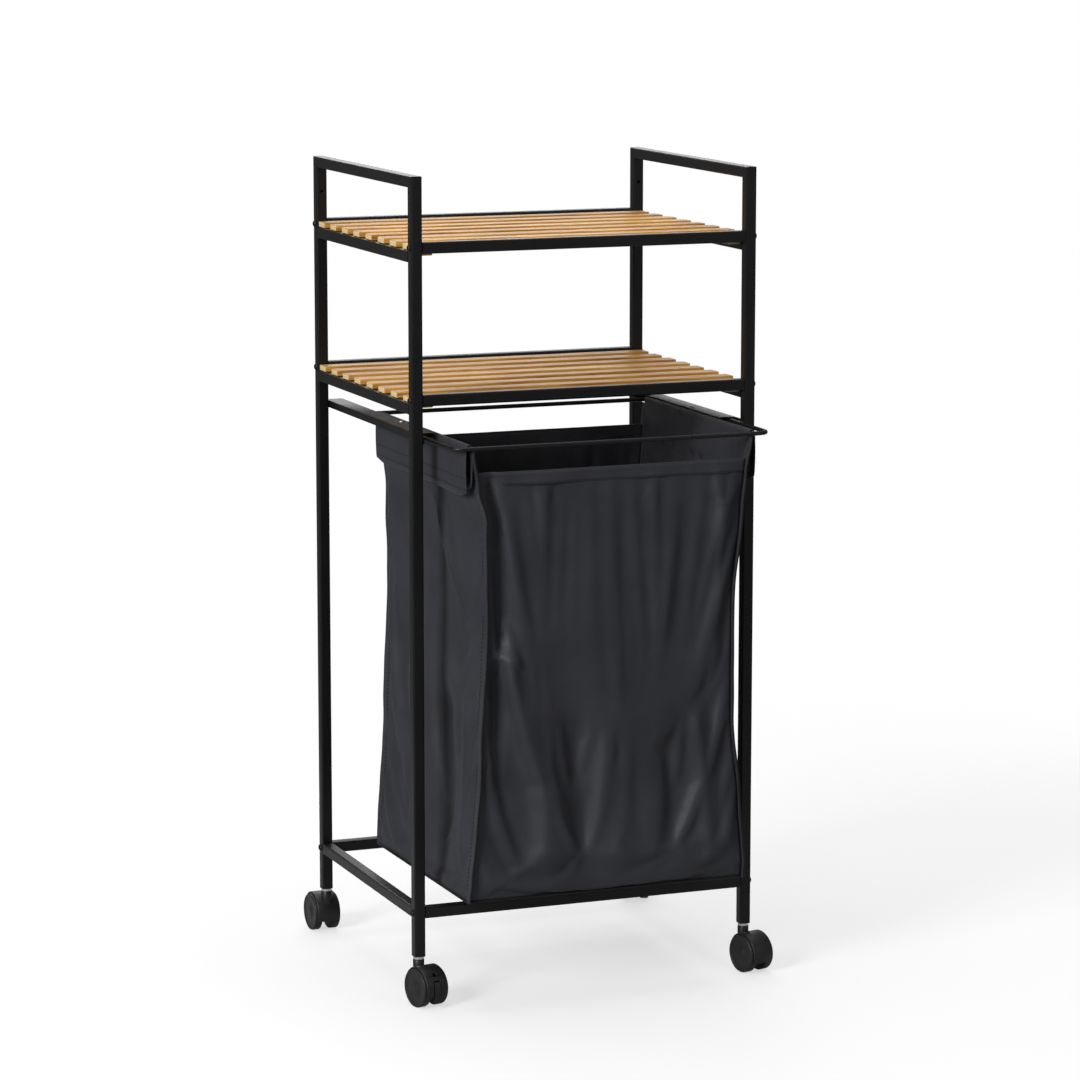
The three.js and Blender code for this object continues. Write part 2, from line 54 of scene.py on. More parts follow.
class Nodes:
    """A material's node tree with a Principled shader, and short calls to add to it."""

    def __init__(self, name):
        self.material = bpy.data.materials.new(name)
        self.material.use_nodes = True
        self.tree = self.material.node_tree
        self.shader = self.tree.nodes["Principled BSDF"]
        self.coords = self.add("ShaderNodeTexCoord").outputs["Object"]

    def add(self, kind, **settings):
        node = self.tree.nodes.new(kind)
        for key, value in settings.items():
            setattr(node, key, value)
        return node

    def link(self, output, socket):
        self.tree.links.new(output, socket)

    def scaled(self, scale, source=None):
        node = self.add("ShaderNodeMapping")
        node.inputs["Scale"].default_value = scale
        self.link(source or self.coords, node.inputs["Vector"])
        return node.outputs["Vector"]

    def noise(self, scale, detail=4.0, source=None, distortion=0.0):
        node = self.add("ShaderNodeTexNoise")
        node.inputs["Scale"].default_value = scale
        node.inputs["Detail"].default_value = detail
        node.inputs["Distortion"].default_value = distortion
        self.link(source or self.coords, node.inputs["Vector"])
        return node.outputs["Fac"]

    def ramp(self, source, stops):
        node = self.add("ShaderNodeValToRGB")
        while len(node.color_ramp.elements) < len(stops):
            node.color_ramp.elements.new(0.5)
        for element, (place, color) in zip(node.color_ramp.elements, stops):
            element.position = place
            element.color = (*color, 1.0)
        self.link(source, node.inputs["Fac"])
        return node.outputs["Color"]

    def range(self, source, low, high):
        node = self.add("ShaderNodeMapRange")
        node.inputs["To Min"].default_value = low
        node.inputs["To Max"].default_value = high
        self.link(source, node.inputs["Value"])
        return node.outputs["Result"]

    def bump(self, source, strength, distance, under=None):
        node = self.add("ShaderNodeBump")
        node.inputs["Strength"].default_value = strength
        node.inputs["Distance"].default_value = distance
        self.link(source, node.inputs["Height"])
        if under is not None:
            self.link(under, node.inputs["Normal"])
        return node.outputs["Normal"]

    def finish(self, color=None, roughness=None, normal=None, **constants):
        if color is not None:
            self.link(color, self.shader.inputs["Base Color"])
        if roughness is not None:
            self.link(roughness, self.shader.inputs["Roughness"])
        if normal is not None:
            self.link(normal, self.shader.inputs["Normal"])
        for key, value in constants.items():
            self.shader.inputs[key.replace("_", " ")].default_value = value
        return self.material


def powder_coat(name, dark, light, roughness):
    n = Nodes(name)
    color = n.ramp(n.noise(scale=9.0, detail=5.0), [(0.3, dark), (0.7, light)])
    rough = n.range(n.noise(scale=55.0, detail=3.0), low=roughness - 0.06, high=roughness + 0.06)
    grain = n.bump(n.noise(scale=1500.0, detail=2.0), strength=0.25, distance=0.0003)
    return n.finish(color, rough, grain, Specular_IOR_Level=0.28)


def zinc_plate():
    n = Nodes("bright_zinc")
    tones = [(0.3, (0.62, 0.64, 0.66)), (0.7, (0.82, 0.83, 0.85))]
    color = n.ramp(n.noise(scale=60.0, detail=4.0), tones)
    rough = n.range(n.noise(scale=200.0, detail=3.0), low=0.2, high=0.36)
    grain = n.bump(n.noise(scale=900.0), strength=0.1, distance=0.0002)
    return n.finish(color, rough, grain, Metallic=1.0)


def moulded_plastic():
    n = Nodes("caster_plastic")
    tones = [(0.3, (0.008, 0.008, 0.0092)), (0.75, (0.0145, 0.0145, 0.0165))]
    color = n.ramp(n.noise(scale=40.0, detail=4.0), tones)
    rough = n.range(n.noise(scale=90.0, detail=3.0), low=0.4, high=0.52)
    grain = n.bump(n.noise(scale=1100.0, detail=3.0), strength=0.2, distance=0.0003)
    return n.finish(color, rough, grain, Specular_IOR_Level=0.35)


def lacquered_wood():
    """Long grain along X, with growth rings, fine pores and a change of tone from slat to slat."""
    n = Nodes("honey_wood")
    long_grain = n.scaled((1.3, 16.0, 24.0))
    rings = n.noise(scale=6.0, detail=6.0, source=long_grain, distortion=1.2)
    color = n.ramp(rings, [
        (0.28, (0.30, 0.122, 0.024)),
        (0.44, (0.46, 0.222, 0.048)),
        (0.58, (0.60, 0.325, 0.082)),
        (0.78, (0.72, 0.43, 0.130)),
    ])
    slat_by_slat = n.noise(scale=1.0, detail=1.0, source=n.scaled((0.6, 25.0, 1.0)))
    tone = n.ramp(slat_by_slat, [(0.35, (0.82, 0.80, 0.77)), (0.65, (1.0, 1.0, 1.0))])
    mix = n.add("ShaderNodeMix", data_type="RGBA", blend_type="MULTIPLY")
    mix.inputs["Factor"].default_value = 1.0
    n.link(color, mix.inputs["A"])
    n.link(tone, mix.inputs["B"])
    pores = n.noise(scale=30.0, detail=3.0, source=n.scaled((3.0, 80.0, 80.0)))
    rough = n.range(pores, low=0.42, high=0.6)
    normal = n.bump(pores, strength=0.22, distance=0.0004)
    return n.finish(mix.outputs["Result"], rough, normal, Specular_IOR_Level=0.3)


def end_grain():
    n = Nodes("wood_end_grain")
    rings = n.add("ShaderNodeTexWave", wave_type="RINGS", rings_direction="X")
    rings.inputs["Scale"].default_value = 160.0
    rings.inputs["Distortion"].default_value = 3.0
    n.link(n.coords, rings.inputs["Vector"])
    color = n.ramp(rings.outputs["Fac"], [(0.2, (0.55, 0.38, 0.17)), (0.8, (0.78, 0.62, 0.34))])
    rough = n.range(n.noise(scale=300.0), low=0.6, high=0.75)
    return n.finish(color, rough, n.bump(rings.outputs["Fac"], strength=0.2, distance=0.0003))


WEAVE_SCALE = 420.0


def woven_polyester(name, dark, light):
    """A fine plain weave from two crossed sets of threads, under a soft cloudy sheen."""
    n = Nodes(name)
    color = n.ramp(n.noise(scale=14.0, detail=5.0), [(0.3, dark), (0.72, light)])
    threads = []
    for direction in ("X", "Z"):
        wave = n.add("ShaderNodeTexWave", bands_direction=direction)
        wave.inputs["Scale"].default_value = WEAVE_SCALE
        wave.inputs["Distortion"].default_value = 0.6
        n.link(n.coords, wave.inputs["Vector"])
        threads.append(wave.outputs["Fac"])
    weave = n.add("ShaderNodeMath", operation="MULTIPLY")
    n.link(threads[0], weave.inputs[0])
    n.link(threads[1], weave.inputs[1])
    creases = n.bump(n.noise(scale=26.0, detail=5.0, distortion=0.4), strength=0.28, distance=0.004)
    normal = n.bump(weave.outputs["Value"], strength=0.12, distance=0.0003, under=creases)
    rough = n.range(n.noise(scale=120.0, detail=4.0), low=0.46, high=0.60)
    return n.finish(
        color, rough, normal, Sheen_Weight=0.03, Sheen_Roughness=0.4, Specular_IOR_Level=0.22
    )


FRAME_PAINT = powder_coat("black_powder_coat", (0.0035, 0.0035, 0.004), (0.006, 0.006, 0.0066), 0.4)
BOLT_PAINT = powder_coat("black_oxide", (0.005, 0.005, 0.0055), (0.009, 0.009, 0.0095), 0.26)
ZINC = zinc_plate()
PLASTIC = moulded_plastic()
WOOD = lacquered_wood()
WOOD_END = end_grain()
FABRIC = woven_polyester("anthracite_polyester", (0.023, 0.0238, 0.0285), (0.034, 0.0352, 0.0425))
BINDING = woven_polyester("black_binding", (0.004, 0.004, 0.0045), (0.007, 0.007, 0.0075))
THREAD = woven_polyester("sewing_thread", (0.007, 0.007, 0.008), (0.012, 0.012, 0.0135))


# ---------------------------------------------------------------- helpers

def dress(obj, material):
    obj.data.materials.clear()
    obj.data.materials.append(material)


def place(obj, body, slot):
    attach(obj, body)
    return obj


def mesh_piece(name, vertices, faces, material, smooth=True):
    mesh = bpy.data.meshes.new(name)
    mesh.from_pydata([tuple(v) for v in vertices], [], faces)
    if smooth:
        mesh.shade_smooth()
    obj = bpy.data.objects.new(name, mesh)
    bpy.context.scene.collection.objects.link(obj)
    mesh.materials.append(material)
    return obj


def ring_faces(rings, count, first=0):
    """The side faces of a tube through rings of vertices, each ring joined to the next."""
    faces = []
    for ring in range(rings - 1):
        a = first + ring * count
        for i in range(count):
            j = (i + 1) % count
            faces.append((a + i, a + j, a + count + j, a + count + i))
    return faces


def capped_faces(rings, count):
    """A closed tube: the side faces and a face over each end."""
    last = (rings - 1) * count
    return ring_faces(rings, count) + [tuple(range(count)), tuple(last + i for i in range(count))]


def grid_faces(rows, columns):
    """The faces of a grid whose vertices are listed row by row."""
    faces = []
    for row in range(rows):
        for column in range(columns):
            a = row * (columns + 1) + column
            faces.append((a, a + 1, a + columns + 2, a + columns + 1))
    return faces


def outward(obj):
    """Turns the faces of a closed mesh out."""
    bm = bmesh.new()
    bm.from_mesh(obj.data)
    bmesh.ops.remove_doubles(bm, verts=bm.verts, dist=1e-6)
    bmesh.ops.recalc_face_normals(bm, faces=bm.faces)
    bm.to_mesh(obj.data)
    bm.free()
    return obj


def apply_modifiers(obj):
    graph = bpy.context.evaluated_depsgraph_get()
    baked = bpy.data.meshes.new_from_object(obj.evaluated_get(graph))
    obj.modifiers.clear()
    obj.data = baked
    return obj


def bevel(obj, width, segments=3, angle=math.radians(35)):
    """Rounds the sharp edges and keeps the flats flat."""
    modifier = obj.modifiers.new("bevel", "BEVEL")
    modifier.width = width
    modifier.segments = segments
    modifier.limit_method = "ANGLE"
    modifier.angle_limit = angle
    modifier.harden_normals = True
    return obj


def sweep_loop(name, profile, stations, material, close_ends=True):
    """A solid through copies of one closed outline.

    Each station is a function from an outline point to its place. Without closed ends the last
    copy is joined to the first, as for a turned part.
    """
    vertices = [station(point) for station in stations for point in profile]
    count = len(profile)
    if close_ends:
        faces = capped_faces(len(stations), count)
    else:
        faces = ring_faces(len(stations), count)
        last = (len(stations) - 1) * count
        for i in range(count):
            j = (i + 1) % count
            faces.append((last + i, last + j, j, i))
    return outward(mesh_piece(name, vertices, faces, material))


def wire_piece(name, points, radius, material, closed=False, resolution=6):
    """A round wire, piping or thread through the points."""
    curve = bpy.data.curves.new(name, "CURVE")
    curve.dimensions = "3D"
    curve.bevel_depth = radius
    curve.bevel_resolution = resolution
    curve.use_fill_caps = True
    spline = curve.splines.new("POLY")
    spline.points.add(len(points) - 1)
    for target, point in zip(spline.points, points):
        target.co = (*point, 1.0)
    spline.use_cyclic_u = closed
    obj = bpy.data.objects.new(name, curve)
    bpy.context.scene.collection.objects.link(obj)
    curve.materials.append(material)
    for each in curve.splines:
        each.use_smooth = True
    return obj


def rounded_loop(x0, x1, y0, y1, radius, z, steps=10):
    """The points of a rounded rectangle in a level plane."""
    points = []
    # Each corner: its place, the signs of its direction from the middle, and where its arc starts
    corners = (
        (x1, y1, 1, 1, 0.0),
        (x0, y1, -1, 1, 0.5),
        (x0, y0, -1, -1, 1.0),
        (x1, y0, 1, -1, 1.5),
    )
    for x, y, sx, sy, start in corners:
        for i in range(steps + 1):
            turn = (start + 0.5 * i / steps) * math.pi
            cx, cy = x - sx * radius, y - sy * radius
            points.append(Vector((cx + radius * math.cos(turn), cy + radius * math.sin(turn), z)))
    return points


def smoothstep(low, high, value):
    t = min(max((value - low) / (high - low), 0.0), 1.0)
    return t * t * (3.0 - 2.0 * t)


def lerp(a, b, t):
    return a + (b - a) * t


def through(stations, value):
    """A smooth value from (key, value) pairs in rising order of key."""
    if value <= stations[0][0]:
        return stations[0][1]
    for (k0, v0), (k1, v1) in zip(stations, stations[1:]):
        if value <= k1:
            return lerp(v0, v1, smoothstep(k0, k1, value))
    return stations[-1][1]


# ---------------------------------------------------------------- stand

for node_name, node in NODES.items():
    if node_name.startswith(("post_", "top_rail_", "rail_", "channel_")):
        dress(node, FRAME_PAINT)
    elif node_name.startswith(("stem_", "axle_", "stop_pin_")):
        dress(node, ZINC)
    elif node_name.startswith("brake_lever_"):
        dress(node, PLASTIC)


BOLT_HEAD, BOLT_HEIGHT = 4.0 * MM, 2.5 * MM
SOCKET_FLAT, SOCKET_DEPTH = 1.25 * MM, 1.3 * MM
DOME_TURN = math.radians(72)
DOME_STEPS = 6
BOLT_SEGMENTS = 36


def button_bolt(corner, level):
    """A button-head bolt with a hexagon socket, over the CAD bolt."""
    node = f"bolt_{corner}_{level}"
    lo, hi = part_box(node)
    side = -1.0 if corner in ("fl", "rl") else 1.0
    outer = lo.x if side < 0 else hi.x
    centre = Vector((outer, (lo.y + hi.y) / 2, (lo.z + hi.z) / 2))
    rings = [(BOLT_HEAD, -BOLT_HEIGHT - 0.3 * MM)]
    for i in range(DOME_STEPS + 1):
        turn = i / DOME_STEPS * DOME_TURN
        rise = BOLT_HEIGHT * math.sin(turn) / math.sin(DOME_TURN)
        rings.append((BOLT_HEAD * math.cos(turn), -BOLT_HEIGHT + rise))
    vertices = []
    for radius, x in rings:
        for i in range(BOLT_SEGMENTS):
            turn = i / BOLT_SEGMENTS * 2 * math.pi
            vertices.append((x * side, radius * math.cos(turn), radius * math.sin(turn)))
    for x in (0.0, -SOCKET_DEPTH):
        for i in range(BOLT_SEGMENTS):
            turn = i / BOLT_SEGMENTS * 2 * math.pi
            wall = SOCKET_FLAT / math.cos((turn + math.pi / 6) % (math.pi / 3) - math.pi / 6)
            vertices.append((x * side, wall * math.cos(turn), wall * math.sin(turn)))
    faces = capped_faces(len(rings) + 2, BOLT_SEGMENTS)
    name = f"bolt_head_{corner}_{level}"
    piece = outward(mesh_piece(name, vertices, faces, BOLT_PAINT, smooth=False))
    piece.location = centre
    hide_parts(node)
    return place(piece, "stand", "bolt_steel")


for corner_name in CORNERS:
    for level_name in ("bottom", "lower", "upper"):
        button_bolt(corner_name, level_name)


# ---------------------------------------------------------------- shelves

SLATS = 8
SLAT_WIDTH = 21 * MM
SLAT_THICKNESS = 6.5 * MM
SLAT_ROUNDING = 1.1 * MM
SLAT_WANDER = 0.6 * MM
BATTEN_WIDTH = 16 * MM
BATTEN_ROUNDING = 0.8 * MM
BATTEN_FROM_RAIL = 0.6 * MM
BATTEN_END_GAP = 1 * MM
SCREW_SEGMENTS = 20
# A screw head's outline: (radius, height over the batten's lower face)
SCREW_RINGS = (
    (2.6 * MM, 1.0 * MM),
    (2.6 * MM, -0.3 * MM * 0.5),
    (2.6 * MM * 0.85, -0.3 * MM),
    (0.9 * MM, -0.3 * MM),
    (0.7 * MM, 0.5 * MM),
)


def stick(name, lo, hi, along, rounding):
    """A straight stick of wood with rounded edges; its two end faces show the end grain."""
    bm = bmesh.new()
    bmesh.ops.create_cube(bm, size=1.0)
    size, centre = hi - lo, (lo + hi) / 2
    for vertex in bm.verts:
        x, y, z = vertex.co
        vertex.co = centre + Vector((x * size.x, y * size.y, z * size.z))
    bmesh.ops.bevel(
        bm, geom=bm.edges[:], offset=rounding, segments=3, profile=0.6, affect="EDGES"
    )
    for face in bm.faces:
        face.material_index = 1 if abs(face.normal[along]) > 0.95 else 0
        face.smooth = True
    mesh = bpy.data.meshes.new(name)
    bm.to_mesh(mesh)
    bm.free()
    piece = bpy.data.objects.new(name, mesh)
    bpy.context.scene.collection.objects.link(piece)
    mesh.materials.append(WOOD)
    mesh.materials.append(WOOD_END)
    return place(piece, "stand", "wood")


def shelf(level):
    """A deck of slats, screwed from below to two battens inside the side rails."""
    node = f"deck_{level}"
    lo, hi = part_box(node)
    pitch = (hi.y - lo.y - SLAT_WIDTH) / (SLATS - 1)
    for i in range(SLATS):
        y = lo.y + i * pitch
        wander = SLAT_WANDER * rng.uniform(-1, 1)
        low = Vector((lo.x + abs(wander), y, hi.z - SLAT_THICKNESS))
        high = Vector((hi.x - abs(wander), y + SLAT_WIDTH, hi.z))
        stick(f"slat_{level}_{i + 1}", low, high, 0, SLAT_ROUNDING)
    rail_lo, rail_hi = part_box(f"rail_left_{level}")
    inner = rail_hi.x + BATTEN_FROM_RAIL
    mid = (lo.x + hi.x) / 2
    for name, x in (("left", inner), ("right", 2 * mid - inner - BATTEN_WIDTH)):
        low = Vector((x, rail_lo.y + BATTEN_END_GAP, lo.z))
        high = Vector((x + BATTEN_WIDTH, rail_hi.y - BATTEN_END_GAP, hi.z - SLAT_THICKNESS))
        stick(f"batten_{level}_{name}", low, high, 1, BATTEN_ROUNDING)
        for i in range(SLATS):
            y = lo.y + i * pitch + SLAT_WIDTH / 2
            screw(f"screw_{level}_{name}_{i + 1}", Vector((x + BATTEN_WIDTH / 2, y, lo.z)))
    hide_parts(node)


def screw(name, place_at):
    """A countersunk screw head, seen from below a batten."""
    vertices = []
    for radius, z in SCREW_RINGS:
        for i in range(SCREW_SEGMENTS):
            turn = i / SCREW_SEGMENTS * 2 * math.pi
            vertices.append((radius * math.cos(turn), radius * math.sin(turn), z))
    faces = capped_faces(len(SCREW_RINGS), SCREW_SEGMENTS)
    piece = outward(mesh_piece(name, vertices, faces, ZINC, smooth=False))
    piece.location = place_at
    return place(piece, "stand", "zinc")


for shelf_level in ("lower", "upper"):
    shelf(shelf_level)


# ---------------------------------------------------------------- casters

HOOD_INNER, HOOD_OUTER = 22.8 * MM, 24.3 * MM
HOOD_HALF = 13.4 * MM
HOOD_STEPS = 48
WEB_HALF = 5.7 * MM
WEB_OVERLAP = 0.4 * MM
NECK = 6.4 * MM
NECK_BORE = 3.06 * MM
HOOD_START, HOOD_END = math.radians(-20), math.radians(200)
LEVER_START, LEVER_TOP = math.radians(-34), math.radians(24)
LEVER_SLOT = 9.2 * MM
LEVER_HALF = 3.6 * MM
LEVER_INNER, LEVER_OUTER, LEVER_TOE = 21.2 * MM, 25.0 * MM, 27.2 * MM
RIDGE_HEIGHT, RIDGE_RATE = 0.5 * MM, 26
# The openings of a hood with a brake, each (start, end, half width): the lever's slot and a small
# hole above it, both cut from inside the hood to outside it
OPENINGS = (
    (HOOD_START - 0.3, LEVER_TOP + 0.06, LEVER_SLOT / 2),
    (LEVER_TOP + 0.28, LEVER_TOP + 0.46, 2.2 * MM),
)
CUT_INNER, CUT_OUTER = 17 * MM, 30 * MM
CUT_STEPS = 10
# A wheel's outline in millimetres: (radius, distance from the middle of the caster)
WHEEL_OUTLINE = (
    (2.58, 6.5), (20.9, 6.5), (21.6, 6.8), (22.0, 7.5), (22.0, 14.6), (21.7, 15.4), (21.0, 15.9),
    (20.0, 16.0), (19.3, 15.9), (18.9, 15.5), (18.4, 15.2), (6.2, 15.2), (5.9, 15.5), (0.3, 15.6),
    (0.3, 13.2), (2.58, 13.2),
)
WHEEL_SEGMENTS = 72


def caster_frame(corner):
    """The matrix from a caster's own frame to the object's, its trail and its axle's height.

    In its own frame the caster trails towards -Y, with the axle along X and the swivel axis at
    the origin.
    """
    stem_lo, stem_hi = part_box(f"stem_{corner}")
    axle_lo, axle_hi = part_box(f"axle_{corner}")
    stem = (stem_lo + stem_hi) / 2
    axle = (axle_lo + axle_hi) / 2
    trail = Vector((axle.x - stem.x, axle.y - stem.y, 0))
    turn = math.atan2(trail.x, -trail.y)
    to_object = Matrix.Translation((stem.x, stem.y, 0)) @ Matrix.Rotation(turn, 4, "Z")
    return to_object, trail.length, axle.z


def around_axle(angle, radius, x, trail, height):
    """A point around the axle: angles count from the trailing side up through the top."""
    return Vector((x, -trail - radius * math.cos(angle), height + radius * math.sin(angle)))


def across_axle(half):
    """The two ends of a solid that reaches from -half to half along the axle."""
    return [lambda p, x=x: Vector((x, p.y, p.z)) for x in (-half, half)]


def hood(corner, to_object, trail, height, braked):
    """The cover over the wheels, the web between them and the neck around the stem."""
    shell = [(-HOOD_HALF, HOOD_INNER), (-HOOD_HALF, HOOD_OUTER - 0.9 * MM)]
    shell += [(-HOOD_HALF + 0.3 * MM, HOOD_OUTER - 0.35 * MM), (-HOOD_HALF + 0.9 * MM, HOOD_OUTER)]
    shell += [(HOOD_HALF - 0.9 * MM, HOOD_OUTER), (HOOD_HALF - 0.3 * MM, HOOD_OUTER - 0.35 * MM)]
    shell += [(HOOD_HALF, HOOD_OUTER - 0.9 * MM), (HOOD_HALF, HOOD_INNER)]
    angles = [lerp(HOOD_START, HOOD_END, i / HOOD_STEPS) for i in range(HOOD_STEPS + 1)]

    def station(angle):
        return lambda point: around_axle(angle, point[1], point[0], trail, height)

    stations = [station(angle) for angle in angles]
    cover = sweep_loop(f"hood_cover_{corner}", shell, stations, PLASTIC)
    if braked:
        for opening in OPENINGS:
            window(cover, trail, height, *opening)
    bevel(cover, 0.25 * MM, 2)
    web_radius = HOOD_INNER + WEB_OVERLAP
    web_outline = [around_axle(angle, web_radius, 0, trail, height) for angle in angles]
    web = sweep_loop(f"hood_web_{corner}", web_outline, across_axle(WEB_HALF), PLASTIC)
    if braked:
        for opening in OPENINGS:
            window(web, trail, height, *opening)
    bevel(web, 0.4 * MM, 2)
    _, cad_hood_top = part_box(f"hood_{corner}")
    top = cad_hood_top.z
    neck_profile = [(NECK_BORE, top), (NECK - 0.5 * MM, top), (NECK, top - 0.5 * MM)]
    neck_profile += [(NECK, top - 9 * MM), (NECK - 0.3 * MM, top - 13 * MM)]
    neck_profile += [(2.0 * MM, top - 30 * MM), (0.4 * MM, top - 32 * MM)]
    neck_profile += [(0.4 * MM, top - 12 * MM), (NECK_BORE, top - 11 * MM)]
    neck = lathe_z(f"hood_neck_{corner}", neck_profile, 40, PLASTIC)
    body = f"swivel_{CASTER_BODIES[corner]}"
    for piece in (cover, web, neck):
        piece.matrix_world = to_object
        place(piece, body, "caster_plastic")
    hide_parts(f"hood_{corner}")


def lathe_z(name, profile, segments, material):
    """A solid turned about Z from an outline of (radius, height)."""

    def station(turn):
        return lambda p: Vector((p[0] * math.cos(turn), p[0] * math.sin(turn), p[1]))

    stations = [station(i / segments * 2 * math.pi) for i in range(segments)]
    return sweep_loop(name, profile, stations, material, close_ends=False)


def window(piece, trail, height, start, end, half):
    """Cuts an opening between two angles through a piece of a hood."""
    outline = []
    for radius, first, last in ((CUT_INNER, start, end), (CUT_OUTER, end, start)):
        for i in range(CUT_STEPS + 1):
            outline.append(around_axle(lerp(first, last, i / CUT_STEPS), radius, 0, trail, height))
    tool = sweep_loop("tool", outline, across_axle(half), PLASTIC)
    cut = piece.modifiers.new("slot", "BOOLEAN")
    cut.object = tool
    cut.operation = "DIFFERENCE"
    apply_modifiers(piece)
    bpy.data.objects.remove(tool)


def wheel(corner, side, to_object, trail, height):
    """One wheel, turned about the axle."""
    sign = -1.0 if side == "left" else 1.0

    def station(turn):
        return lambda p: Vector((
            sign * p[1] * MM,
            -trail + p[0] * MM * math.cos(turn),
            height + p[0] * MM * math.sin(turn),
        ))

    stations = [station(i / WHEEL_SEGMENTS * 2 * math.pi) for i in range(WHEEL_SEGMENTS)]
    name = f"wheel_{side}_{corner}"
    piece = sweep_loop(name, WHEEL_OUTLINE, stations, PLASTIC, close_ends=False)
    bevel(piece, 0.15 * MM, 2, math.radians(50))
    piece.matrix_world = to_object
    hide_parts(f"wheel_{corner}_{side}")
    place(piece, f"wheel_{CASTER_BODIES[corner]}_{side}", "caster_plastic")


def brake_lever(corner, to_object, trail, height):
    """A curved tab with a raised toe and grip ridges, over the CAD lever."""
    top, start = LEVER_TOP, LEVER_START
    outline = []
    for i in range(13):
        outline.append(around_axle(lerp(start, top, i / 12), LEVER_INNER, 0, trail, height))
    for i in range(49):
        angle = lerp(top, start, i / 48)
        toe = smoothstep(start + 0.3, start + 0.16, angle) if angle > start + 0.16 else 1.0
        ridge = RIDGE_HEIGHT * max(0.0, math.sin((angle - start) * RIDGE_RATE))
        ridge *= smoothstep(0.95, 0.7, angle - start)
        radius = lerp(LEVER_OUTER, LEVER_TOE, toe) + ridge
        outline.append(around_axle(angle, radius, 0, trail, height))
    piece = sweep_loop(f"brake_tab_{corner}", outline, across_axle(LEVER_HALF), PLASTIC)
    bevel(piece, 0.3 * MM, 2)
    piece.matrix_world = to_object
    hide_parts(f"brake_lever_{corner}")
    place(piece, f"brake_{CASTER_BODIES[corner]}", "caster_plastic")


for corner_name in CORNERS:
    caster, caster_trail, axle_height = caster_frame(corner_name)
    has_brake = f"brake_lever_{corner_name}" in NODES
    hood(corner_name, caster, caster_trail, axle_height, has_brake)
    for side_name in ("left", "right"):
        wheel(corner_name, side_name, caster, caster_trail, axle_height)
    if has_brake:
        brake_lever(corner_name, caster, caster_trail, axle_height)


# ---------------------------------------------------------------- bag frame

WIRE = 2.5 * MM
wire_lo, wire_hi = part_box("bag_frame")
WIRE_Z = (wire_lo.z + wire_hi.z) / 2
LEFT, RIGHT = wire_lo.x + WIRE, wire_hi.x - WIRE
MID_X = (LEFT + RIGHT) / 2
FRONT = wire_lo.y + WIRE
REAR = wire_hi.y - WIRE - 0.4 * MM
BEND_RADIUS = 14 * MM
HANGER = 19 * MM
HANGER_WIRE = WIRE - 0.1 * MM
WELD_RADIUS, WELD_INSET, WELD_HALF = 2.5 * MM, 2.2 * MM, 1.6 * MM

loop_path = rounded_loop(LEFT, RIGHT, FRONT, REAR, BEND_RADIUS, WIRE_Z)
loop = wire_piece("bag_frame_loop", loop_path, WIRE, FRAME_PAINT, True)
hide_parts("bag_frame")
place(loop, "bag_drawer", "frame_paint")
for side_name, hanger_x in (("left", LEFT + HANGER), ("right", RIGHT - HANGER)):
    ends = [Vector((hanger_x, lerp(FRONT, REAR, i / 8), WIRE_Z)) for i in range(9)]
    hanger = wire_piece(f"hanger_wire_{side_name}", ends, HANGER_WIRE, FRAME_PAINT)
    place(hanger, "bag_drawer", "frame_paint")
    for end_name, weld_y in (("front", FRONT + WELD_INSET), ("rear", REAR - WELD_INSET)):
        bead = [Vector((hanger_x + dx, weld_y, WIRE_Z)) for dx in (-WELD_HALF, WELD_HALF)]
        weld = wire_piece(f"weld_{side_name}_{end_name}", bead, WELD_RADIUS, FRAME_PAINT)
        place(weld, "bag_drawer", "frame_paint")


# ---------------------------------------------------------------- bag

bag_lo, bag_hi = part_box("bag")
BAG_BOTTOM = bag_lo.z
HEM_Z = 614 * MM
SIDE_TOP = WIRE_Z - 3 * MM
BAG_FRONT = bag_lo.y
BAG_REAR = bag_hi.y
CLOTH = 0.9 * MM
COLUMNS, ROWS = 80, 120
HALF_SEAM = 7 * MM
PANEL_FOOT = BAG_BOTTOM + 1.5 * MM
HEM_DEPTH = 14 * MM
ROUNDING = 2 * MM
DEEPEST_FOLD = 17 * MM
BROAD_CRUMPLE, FINE_CRUMPLE = 2.6 * MM, 1.1 * MM

# The bag's shape by height in metres, each in millimetres: how far each seam is from the middle,
# and how far the front and rear panels stand inside the CAD bag's box
SEAMS = {
    "fl": [(0.13, 170), (0.30, 158), (0.45, 149), (0.56, 151), (0.60, 160), (0.64, 166)],
    "rl": [(0.13, 172), (0.30, 164), (0.45, 159), (0.56, 159), (0.60, 162), (0.64, 166)],
    "fr": [
        (0.13, 163), (0.22, 155), (0.32, 146), (0.45, 147), (0.56, 156), (0.60, 160), (0.64, 166)
    ],
    "rr": [(0.13, 171), (0.30, 163), (0.45, 158), (0.56, 159), (0.60, 162), (0.64, 166)],
}
FRONT_PANEL = [
    (0.13, 10.0), (0.155, 5.0), (0.19, 2.0), (0.30, 4.0), (0.45, 7.0), (0.60, 4.0), (0.64, 4.0)
]
REAR_PANEL = [(0.13, 3.0), (0.30, 6.0), (0.45, 8.0), (0.60, 3.0), (0.64, 1.5)]


def fold(u, z, start, end, width, height, sharp=False):
    """How far a crease from start to end, each (metres across, metres up), lifts a point.

    A sharp crease falls off steeply on one side and slowly on the other, over a rounded top.
    """
    ax, az = start
    bx, bz = end
    dx, dz = bx - ax, bz - az
    length = math.hypot(dx, dz)
    t = ((u - ax) * dx + (z - az) * dz) / length ** 2
    side = ((u - ax) * dz - (z - az) * dx) / length
    fade = smoothstep(-0.12, 0.15, t) * (1.0 - smoothstep(0.8, 1.15, t))
    if sharp:
        reach = width * (0.45 if side > 0 else 1.6)
        return height * fade * math.exp((ROUNDING - math.hypot(side, ROUNDING)) / reach)
    return height * fade * math.exp(-(side / width) ** 2)


